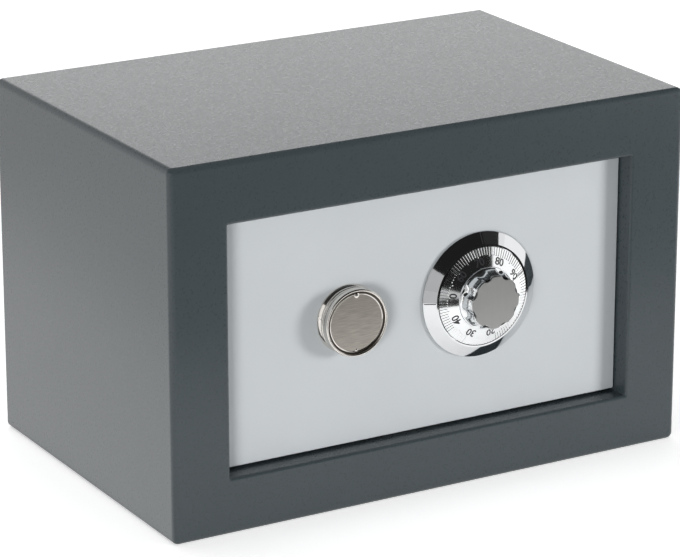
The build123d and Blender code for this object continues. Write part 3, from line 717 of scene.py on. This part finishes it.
class SAFE_OT_mark_ring(bpy.types.Operator):
    """Sets the index marks on the fixed ring, one at the top and one at the left"""

    bl_idname = "safe.mark_ring"
    bl_label = "Mark the ring"

    edge_height = 1.2 * MM
    lip_radius = 28.3 * MM
    margin = 0.35 * MM
    corner = 0.2 * MM

    def execute(self, context):
        marks = context.scene.safe_dial
        lip_height = door_face - ring_low.y
        rise = lip_height - self.edge_height
        run = ring_radius - self.lip_radius
        length = hypot(rise, run) - 2 * self.margin
        middle_radius = (ring_radius + self.lip_radius) / 2
        middle_height = (lip_height + self.edge_height) / 2
        pieces = []
        for angle in (pi / 2, pi):
            mark = add_block((marks.index_width, length, 2 * marks.inlay))
            bpy.ops.object.mode_set(mode="EDIT")
            choose(mark, "edges", stands_up)
            bpy.ops.mesh.bevel(offset=self.corner, segments=4)
            bpy.ops.object.mode_set(mode="OBJECT")
            lay_on_cone(mark, middle_radius, angle, middle_height, atan2(rise, run))
            pieces.append(mark)
        select_only(*pieces)
        bpy.ops.object.join()
        ink = bpy.data.materials["mark_enamel"]
        finish_piece(bpy.context.object, "ring_index", ink, "door")
        return {"FINISHED"}


class SAFE_OT_turn_knob(bpy.types.Operator):
    """Turns the knob with its round skirt and presses its flutes"""

    bl_idname = "safe.turn_knob"
    bl_label = "Turn the knob"

    # Radius and height in front of the door, in millimetres
    profile = (
        (0, 14.0), (4.0, 14.0), (4.0, 8.5), (16.8, 8.5), (17.0, 8.7), (17.0, 9.2),
        (16.85, 9.45), (16.5, 9.6), (16.2, 9.9), (15.9, 10.5), (15.6, 11.3), (15.3, 12.3),
        (15.05, 13.4), (14.9, 14.5), (14.8, 15.5), (14.8, 16.3), (14.8, 16.9),
        (14.72, 17.2), (14.5, 17.4), (14.0, 17.4), (0, 17.4),
    )
    steps_per_flute = 24
    flutes = 8
    first_flute = radians(20)
    side_radius = 14.3 * MM
    blend = 0.25 * MM
    # Height in front of the door, depth and radius of a flute, low and high on the side
    foot = (9.5 * MM, 0.5 * MM, 3.4 * MM)
    crown = (11.0 * MM, 1.4 * MM, 3.9 * MM)

    def execute(self, context):
        knob = turn_profile(
            self.profile, dial_centre.x, dial_centre.z, self.flutes * self.steps_per_flute
        )
        for vertex in knob.data.vertices:
            self.press(vertex.co)
        select_only(knob)
        bpy.ops.object.shade_smooth_by_angle(angle=radians(32))
        chrome = bpy.data.materials["dial_chrome"]
        finish_piece(knob, "fluted_knob", chrome, "dial")
        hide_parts("dial_knob")
        return {"FINISHED"}

    def press(self, place):
        """Moves a point of the side or the rim inwards where it lies in a flute.

        A flute is a round notch, and a small fillet joins it to the side.
        """
        across, up = place.x - dial_centre.x, place.z - dial_centre.z
        radius, height = hypot(across, up), door_face - place.y
        foot_height, foot_depth, foot_notch = self.foot
        crown_height, crown_depth, crown_notch = self.crown
        if height < foot_height or radius < self.side_radius:
            return
        rise = min((height - foot_height) / (crown_height - foot_height), 1)
        ease = rise * rise * (3 - 2 * rise)
        depth = foot_depth + (crown_depth - foot_depth) * ease
        notch = foot_notch + (crown_notch - foot_notch) * ease
        pitch = 2 * pi / self.flutes
        turn = (atan2(up, across) - self.first_flute) / pitch
        off = radius * sin((turn - round(turn)) * pitch)
        reach = radius + notch - depth - max(notch * notch - off * off, 0) ** 0.5
        gap = max(self.blend - abs(radius - reach), 0) / self.blend
        new = min(radius, reach) - gap * gap * self.blend / 4
        place.x = dial_centre.x + across * new / radius
        place.z = dial_centre.z + up * new / radius


class SAFE_OT_turn_key_cover(bpy.types.Operator):
    """Turns the stacked escutcheon of the key lock, its swinging cover and the rivet"""

    bl_idname = "safe.turn_key_cover"
    bl_label = "Turn the key cover"

    # Radius and height in front of the door of each outline, in millimetres
    escutcheon = (
        (9.5, 0), (18.5, 0), (18.5, 0.6), (18.38, 0.85), (17.3, 2.1), (16.7, 2.2),
        (16.7, 2.7), (17.4, 2.75), (17.85, 3.0), (18.0, 3.5), (17.95, 4.0), (17.7, 4.3),
        (17.3, 4.4), (16.7, 4.4), (16.7, 4.8), (17.3, 4.85), (17.8, 5.0), (18.1, 5.5),
        (18.1, 5.9), (17.8, 6.4), (17.3, 6.5), (16.7, 6.5), (16.7, 6.8), (13.3, 6.8),
        (13.3, 2.0), (9.5, 2.0), (9.5, 0),
    )
    cover = (
        (0, 7.0), (17.95, 7.0), (18.3, 7.3), (18.3, 9.25), (18.22, 9.6), (18.0, 9.87),
        (17.65, 10.0), (17.3, 9.93), (17.02, 9.7), (16.88, 9.35), (16.8, 8.85),
        (16.7, 8.45), (16.5, 8.3), (16.2, 8.3), (16.0, 8.45), (15.93, 8.85), (15.8, 9.1),
        (15.6, 9.18), (15.4, 9.12), (15.25, 9.0), (12.0, 9.0), (6.0, 9.03), (0, 9.04),
    )
    rivet = (
        (0, 6.0), (1.2, 6.0), (1.2, 9.1), (1.5, 9.1), (1.48, 9.25), (1.25, 9.45),
        (0.8, 9.57), (0, 9.6),
    )
    steps = 128
    rivet_steps = 32
    head_overhang = 0.25 * MM
    drill_length = 8 * MM
    dimple_radius = 1.1 * MM
    dimple_rise = 0.35 * MM
    face_height = 9.0 * MM
    face_radius = 15.3 * MM
    face_share = 0.98
    # Inner and outer radius of the groove behind the rim, and the height it stays under; faces
    # there get the painted shade
    groove = (15.95 * MM, 16.85 * MM, 8.9 * MM)

    def execute(self, context):
        low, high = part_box("key_cover")
        axis_x, axis_z = (low.x + high.x) / 2, (low.z + high.z) / 2
        rivet_low, rivet_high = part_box("cover_rivet")
        rivet_z = (rivet_low.z + rivet_high.z) / 2
        rivet_radius = (rivet_high.x - rivet_low.x) / 2
        rings = turn_profile(self.escutcheon, axis_x, axis_z, self.steps)
        self.finish(rings, "stacked_escutcheon", "door", "key_escutcheon")
        cover = turn_profile(self.cover, axis_x, axis_z, self.steps)
        drill = add_cylinder(
            self.rivet_steps,
            rivet_radius - self.head_overhang,
            self.drill_length,
            (axis_x, door_face - self.drill_length, rivet_z),
            TO_FRONT,
        )
        combine(cover, drill, "DIFFERENCE")
        deselect()
        dimple_height = self.face_height - self.dimple_radius + self.dimple_rise
        bpy.ops.mesh.primitive_uv_sphere_add(
            segments=32,
            ring_count=16,
            radius=self.dimple_radius,
            location=(axis_x, door_face - dimple_height, 2 * axis_z - rivet_z),
        )
        combine(cover, bpy.context.object, "UNION")
        self.finish(cover, "rimmed_key_cover", "key_flap", "key_cover")
        self.brush_face(cover, axis_x, axis_z)
        rivet = turn_profile(self.rivet, axis_x, rivet_z, self.rivet_steps)
        self.finish(rivet, "domed_rivet", "door", "cover_rivet")
        return {"FINISHED"}

    def finish(self, piece, name, body, node):
        """Smooths a turned piece, plates it and puts it in the node's place."""
        select_only(piece)
        bpy.ops.object.shade_smooth_by_angle(angle=radians(38))
        finish_piece(piece, name, bpy.data.materials["cover_nickel"], body)
        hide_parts(node)

    def brush_face(self, cover, axis_x, axis_z):
        """Gives the cover's face its brushing, and its groove a dark nickel as painted shade."""
        inner, outer, top = self.groove
        cover.data.materials.append(bpy.data.materials["brushed_nickel"])
        cover.data.materials.append(bpy.data.materials["tarnished_groove"])
        for face in cover.data.polygons:
            radius = hypot(face.center.x - axis_x, face.center.z - axis_z)
            if face.normal.y < -self.face_share and radius < self.face_radius:
                face.material_index = 1
            # Faces in the groove get the dark nickel: painted shade where the groove is in shadow
            elif inner < radius < outer and door_face - face.center.y < top:
                face.material_index = 2


class SAFE_OT_fit_screws(bpy.types.Operator):
    """Models the screws with domed heads and cross recesses in place of plain ones"""

    bl_idname = "safe.fit_screws"
    bl_label = "Fit the screws"

    # Node, body, and whether the heads face the back
    sets = (
        ("cover_screws", "door", True),
        ("lid_screws", "door", True),
        ("case_screws", "door", True),
        ("ring_screws", "door", False),
        ("crank_screw", "key_lock", True),
    )

    def execute(self, context):
        steel = bpy.data.materials["screw_steel"]
        for node, body, faces_back in self.sets:
            screws = [make_screw(*sizes, faces_back) for sizes in measure_screws(node, faces_back)]
            select_only(*screws)
            if len(screws) > 1:
                bpy.ops.object.join()
            heads = bpy.context.object
            finish_piece(heads, node.rstrip("s") + "_heads", steel, body)
            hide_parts(node)
        return {"FINISHED"}


def loose_parts(mesh):
    """The vertices of each loose part of a mesh, as sets."""
    left = set(mesh.verts)
    while left:
        group = {left.pop()}
        grow = list(group)
        while grow:
            for edge in grow.pop().link_edges:
                for vertex in edge.verts:
                    if vertex not in group:
                        group.add(vertex)
                        grow.append(vertex)
        left -= group
        yield group


def measure_screws(node, faces_back):
    """Seat, head radius, head height, shank radius and length of each screw in a node."""
    mesh = bmesh.new()
    mesh.from_mesh(frame["nodes"][node].data)
    bmesh.ops.remove_doubles(mesh, verts=mesh.verts, dist=SAME / 10)
    found = []
    for group in loose_parts(mesh):
        xs, ys, zs = zip(*(vertex.co for vertex in group))
        heights = sorted({round(y, 6) for y in ys}, reverse=faces_back)
        top, under, tip = heights[0], heights[1], heights[-1]
        seat = Vector(((min(xs) + max(xs)) / 2, under, (min(zs) + max(zs)) / 2))
        shank_radius = max(
            hypot(x - seat.x, z - seat.z) for x, y, z in zip(xs, ys, zs) if abs(y - tip) < SAME
        )
        head_radius = (max(xs) - min(xs)) / 2
        found.append((seat, head_radius, abs(top - under), shank_radius, abs(under - tip)))
    mesh.free()
    return sorted(found, key=lambda sizes: (sizes[0].x, sizes[0].z))


def make_screw(seat, head_radius, head_height, shank_radius, length, faces_back):
    """A pan-head screw with a cross recess, its head's underside at seat."""
    sides = 32
    dome_share, tip_share = 0.62, 0.3
    screw = add_cylinder(sides, head_radius, head_height, (0, 0, head_height / 2))
    settle(screw)
    bpy.ops.object.mode_set(mode="EDIT")
    choose(screw, "edges", lambda edge: all(v.co.z > head_height - SAME for v in edge.verts))
    bpy.ops.mesh.bevel(offset=head_height * dome_share, segments=5, profile=0.6)
    choose(screw, "faces", lambda face: face.normal.z < -ALONG)
    bpy.ops.mesh.inset(thickness=head_radius - shank_radius, depth=0)
    bpy.ops.mesh.extrude_region_move(TRANSFORM_OT_translate={"value": (0, 0, -length)})
    bpy.ops.mesh.bevel(offset=shank_radius * tip_share, segments=2)
    bpy.ops.object.mode_set(mode="OBJECT")
    combine(screw, make_cross(2 * head_radius, head_height), "DIFFERENCE")
    bpy.ops.object.shade_smooth_by_angle(angle=radians(30))
    turn = Matrix.Rotation(-pi / 2 if faces_back else pi / 2, 4, "X")
    screw.data.transform(Matrix.Translation(seat) @ turn)
    return screw


def make_cross(head_width, head_height):
    """The cross of a recess: two blades that taper downwards, joined by a union."""
    long_share, wide_share, depth_share = 0.56, 0.15, 1.5
    taper = 0.55
    blades = []
    for across, along in ((long_share, wide_share), (wide_share, long_share)):
        blade = add_block(
            (head_width * across, head_width * along, head_height * depth_share),
            (0, 0, head_height),
        )
        bpy.ops.object.mode_set(mode="EDIT")
        choose(blade, "faces", lambda face: face.normal.z < -ALONG)
        bpy.ops.transform.resize(value=(taper, taper, 1))
        bpy.ops.object.mode_set(mode="OBJECT")
        blades.append(blade)
    combine(*blades, "UNION")
    return blades[0]


class SAFE_OT_lay_mat(bpy.types.Operator):
    """Lays the felt mat in the bottom, with a hole over each floor anchor"""

    bl_idname = "safe.lay_mat"
    bl_label = "Lay the mat"

    corner = 4.0 * MM
    anchor_y = 20.0 * MM
    anchor_spacing = 200.0 * MM
    hole_radius = 6.5 * MM
    cell = 1.5 * MM
    swell_width = 20.0 * MM
    unevenness = 0.35 * MM

    def execute(self, context):
        size = mat_high - mat_low
        middle = (mat_low + mat_high) / 2
        mat = add_block(size, middle)
        bpy.ops.object.mode_set(mode="EDIT")
        choose(mat, "edges", stands_up)
        bpy.ops.mesh.bevel(offset=self.corner, segments=6)
        bpy.ops.object.mode_set(mode="OBJECT")
        for anchor_x in (-self.anchor_spacing / 2, self.anchor_spacing / 2):
            place = (anchor_x, self.anchor_y, middle.z)
            drill = add_cylinder(40, self.hole_radius, 4 * size.z, place)
            combine(mat, drill, "DIFFERENCE")
        self.soften(mat)
        grey = felt("mat_felt", (0.022, 0.022, 0.025))
        finish_piece(mat, "felt_mat", grey, "casing")
        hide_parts("floor_mat")
        return {"FINISHED"}

    def soften(self, mat):
        """Remeshes the slab, so that its top can rise and fall a little as felt does."""
        select_only(mat)
        remesh = mat.modifiers.new("felting", "REMESH")
        remesh.mode = "VOXEL"
        remesh.voxel_size = self.cell
        bpy.ops.object.modifier_apply(modifier=remesh.name)
        swell = bpy.data.textures.new("felt_swell", "CLOUDS")
        swell.noise_scale = self.swell_width
        waves = mat.modifiers.new("waves", "DISPLACE")
        waves.texture = swell
        waves.texture_coords = "LOCAL"
        waves.direction = "Z"
        waves.mid_level = 1.0
        waves.strength = self.unevenness
        bpy.ops.object.modifier_apply(modifier=waves.name)
        for vertex in mat.data.vertices:
            vertex.co.z = max(vertex.co.z, mat_low.z)
        bpy.ops.object.shade_smooth_by_angle(angle=radians(50))


class SAFE_OT_set_studio(bpy.types.Operator):
    """Sets the floor, the lamps, the reflecting cards and the camera"""

    bl_idname = "safe.set_studio"
    bl_label = "Set the studio"

    floor_width = 14
    floor_whites = ((0.93, 0.93, 0.93), (0.95, 0.95, 0.95))
    floor_underlight = (0.4, 0.4, 0.4, 1)
    floor_glow = 0.53
    # The floor's glow rises to full from the first to the second distance
    glow_reach = (0.6, 2.5)
    # Name, glow, lowest and highest corner of each cloth or card
    cloths = (
        ("floor_cloth", 0.02, (-0.04, -0.52, 0.0002), (0.75, -0.34, 0.0006)),
        ("far_floor", 0.38, (-0.04, -1.00, 0.0002), (0.75, -0.52, 0.0006)),
        ("front_cloth", 0.015, (-0.33, -1.01, 0.0), (0.80, -1.00, 1.3)),
        ("left_cloth", 0.55, (-1.60, -1.02, 0.0), (-0.33, -1.01, 0.45)),
        ("left_floor", 0.60, (-1.60, -1.00, 0.0002), (-0.04, -0.37, 0.0006)),
        ("right_card", 1.12, (1.00, -1.30, 0.0), (1.01, 0.30, 0.50)),
        ("near_card", 1.7, (-0.31, -0.10, 0.0002), (-0.157, 0.50, 0.0006)),
        ("far_card", 1.1, (-1.40, -0.10, 0.0002), (-0.31, 1.40, 0.0006)),
        ("ceiling_cloth", 0.03, (-1.5, -1.5, 1.10), (1.9, 1.5, 1.11)),
    )
    # Name, azimuth, elevation, distance, size, power, and whether metal reflects it
    lamps = (
        ("right_window", 46.5, 5, 1.3, (0.34, 0.36), 8.25, False),
        ("left_window", -46, 5, 1.6, (0.44, 0.40), 12.2, False),
        ("top_softbox", 190, 75, 1.5, (1.2, 1.0), 9.0, True),
        ("back_softbox", 150, 17, 1.5, (1.4, 0.4), 1.8, True),
    )

    def execute(self, context):
        studio = context.scene.safe_studio
        context.scene.view_settings.view_transform = "Standard"
        self.lay_floor()
        for cloth in self.cloths:
            self.hang_cloth(*cloth)
        self.light_world(context, studio.sky)
        for lamp in self.lamps:
            self.place_lamp(*lamp)
        self.place_camera(context, studio)
        return {"FINISHED"}

    def seen_directly(self, tree):
        """One for rays from the camera, from metal and through glass, and zero for the rest."""
        rays = tree.nodes.new("ShaderNodeLightPath")
        seen = rays.outputs["Is Camera Ray"]
        for kind in ("Is Glossy Ray", "Is Transmission Ray"):
            seen = self.join_values(tree, "MAXIMUM", seen, rays.outputs[kind])
        return seen

    def join_values(self, tree, operation, first, second):
        """The result of one maths operation on two values."""
        maths = tree.nodes.new("ShaderNodeMath")
        maths.operation = operation
        tree.links.new(first, maths.inputs[0])
        tree.links.new(second, maths.inputs[1])
        return maths.outputs["Value"]

    def lay_floor(self):
        """A large white floor that throws little light back up at the safe.

        It glows a little, and more where the lamps no longer reach it.
        """
        deselect()
        bpy.ops.mesh.primitive_plane_add(size=self.floor_width)
        floor = bpy.context.object
        floor.name = "studio_floor"
        material, tree, shader = start_material("studio_paper")
        seen = self.seen_directly(tree)
        grain = spread(tree, noise(tree, PAPER_GRAIN), 0, 1)
        colour = tree.nodes.new("ShaderNodeMix")
        colour.data_type = "RGBA"
        colour.inputs["A"].default_value = self.floor_underlight
        tree.links.new(tint(tree, grain, *self.floor_whites), colour.inputs["B"])
        tree.links.new(seen, colour.inputs["Factor"])
        tree.links.new(colour.outputs["Result"], shader.inputs["Base Color"])
        place = tree.nodes.new("ShaderNodeTexCoord")
        reach = tree.nodes.new("ShaderNodeVectorMath")
        reach.operation = "LENGTH"
        tree.links.new(place.outputs["Object"], reach.inputs[0])
        rising = spread(tree, reach.outputs["Value"], self.floor_glow, 1, *self.glow_reach)
        glow = self.join_values(tree, "MULTIPLY", rising, seen)
        shader.inputs["Emission Color"].default_value = (1, 1, 1, 1)
        tree.links.new(glow, shader.inputs["Emission Strength"])
        shader.inputs["Roughness"].default_value = 0.9
        floor.data.materials.append(material)

    def hang_cloth(self, name, glow, low, high):
        """A glowing cloth or card, seen only in reflections, as a room's walls are."""
        material, _, shader = start_material(name)
        shader.inputs["Base Color"].default_value = (0, 0, 0, 1)
        shader.inputs["Specular IOR Level"].default_value = 0
        shader.inputs["Emission Color"].default_value = (1, 1, 1, 1)
        shader.inputs["Emission Strength"].default_value = glow
        cloth = add_block(Vector(high) - Vector(low), (Vector(low) + Vector(high)) / 2)
        cloth.name = name
        cloth.data.materials.append(material)
        cloth.visible_camera = False
        cloth.visible_diffuse = False
        cloth.visible_shadow = False
        cloth.visible_transmission = False

    def light_world(self, context, strength):
        """Even light for matt surfaces; white for the camera, for metal and for glass."""
        world = bpy.data.worlds.new("studio_room")
        context.scene.world = world
        world.use_nodes = True
        tree = world.node_tree
        background = tree.nodes["Background"]
        background.inputs["Color"].default_value = (1, 1, 1, 1)
        light = spread(tree, self.seen_directly(tree), strength, 1, low_in=0, high_in=1)
        tree.links.new(light, background.inputs["Strength"])

    def place_lamp(self, name, azimuth, elevation, distance, size, power, in_metal):
        """A rectangular lamp that faces the safe; azimuth runs from its front to its right.

        The two windows don't show in metal, which reflects the white room there instead.
        """
        aim = Vector((0, 0, 0.1))
        azimuth, elevation = radians(azimuth), radians(elevation)
        out = Vector((
            sin(azimuth) * cos(elevation), -cos(azimuth) * cos(elevation), sin(elevation)
        ))
        deselect()
        bpy.ops.object.light_add(type="AREA", location=aim + distance * out)
        lamp = bpy.context.object
        lamp.name = name
        lamp.rotation_euler = out.to_track_quat("Z", "Y").to_euler()
        lamp.data.shape = "RECTANGLE"
        lamp.data.size, lamp.data.size_y = size
        lamp.data.energy = power
        lamp.visible_glossy = in_metal

    def place_camera(self, context, studio):
        """The camera at the photograph's angle."""
        deselect()
        bpy.ops.object.camera_add(
            location=studio.camera_place,
            rotation=(pi / 2 - studio.camera_elevation, 0, studio.camera_azimuth),
        )
        camera = bpy.context.object
        camera.data.sensor_width = 36.0
        camera.data.lens = studio.lens
        context.scene.camera = camera


class SAFE_PT_workshop(bpy.types.Panel):
    """Lists the steps that dress the safe"""

    bl_label = "Combination safe"
    bl_idname = "SAFE_PT_workshop"
    bl_space_type = "VIEW_3D"
    bl_region_type = "UI"
    bl_category = "Safe"

    def draw(self, context):
        column = self.layout.column()
        for settings in ("safe_finish", "safe_dial", "safe_studio"):
            group = getattr(context.scene, settings)
            for name in group.bl_rna.properties.keys():
                if name not in ("rna_type", "name"):
                    column.prop(group, name)
        for step in STEPS:
            column.operator(step.bl_idname)


STEPS = (
    SAFE_OT_paint_steelwork,
    SAFE_OT_plate_hardware,
    SAFE_OT_engrave_dial,
    SAFE_OT_number_dial,
    SAFE_OT_mark_ring,
    SAFE_OT_turn_knob,
    SAFE_OT_turn_key_cover,
    SAFE_OT_fit_screws,
    SAFE_OT_lay_mat,
    SAFE_OT_set_studio,
)
SETTINGS = {
    "safe_finish": SafeFinish,
    "safe_dial": SafeDialMarks,
    "safe_studio": SafeStudio,
}


def register():
    """Registers the settings, the steps and the panel."""
    for name, group in SETTINGS.items():
        bpy.utils.register_class(group)
        setattr(bpy.types.Scene, name, bpy.props.PointerProperty(type=group))
    for step in (*STEPS, SAFE_PT_workshop):
        bpy.utils.register_class(step)


def unregister():
    """Takes them away again."""
    for step in (SAFE_PT_workshop, *reversed(STEPS)):
        bpy.utils.unregister_class(step)
    for name, group in SETTINGS.items():
        delattr(bpy.types.Scene, name)
        bpy.utils.unregister_class(group)


def main():
    """Dresses the safe step by step."""
    register()
    bpy.ops.safe.paint_steelwork()
    bpy.ops.safe.plate_hardware()
    bpy.ops.safe.engrave_dial()
    bpy.ops.safe.number_dial()
    bpy.ops.safe.mark_ring()
    bpy.ops.safe.turn_knob()
    bpy.ops.safe.turn_key_cover()
    bpy.ops.safe.fit_screws()
    bpy.ops.safe.lay_mat()
    bpy.ops.safe.set_studio()


if __name__ == "__main__":
    main()
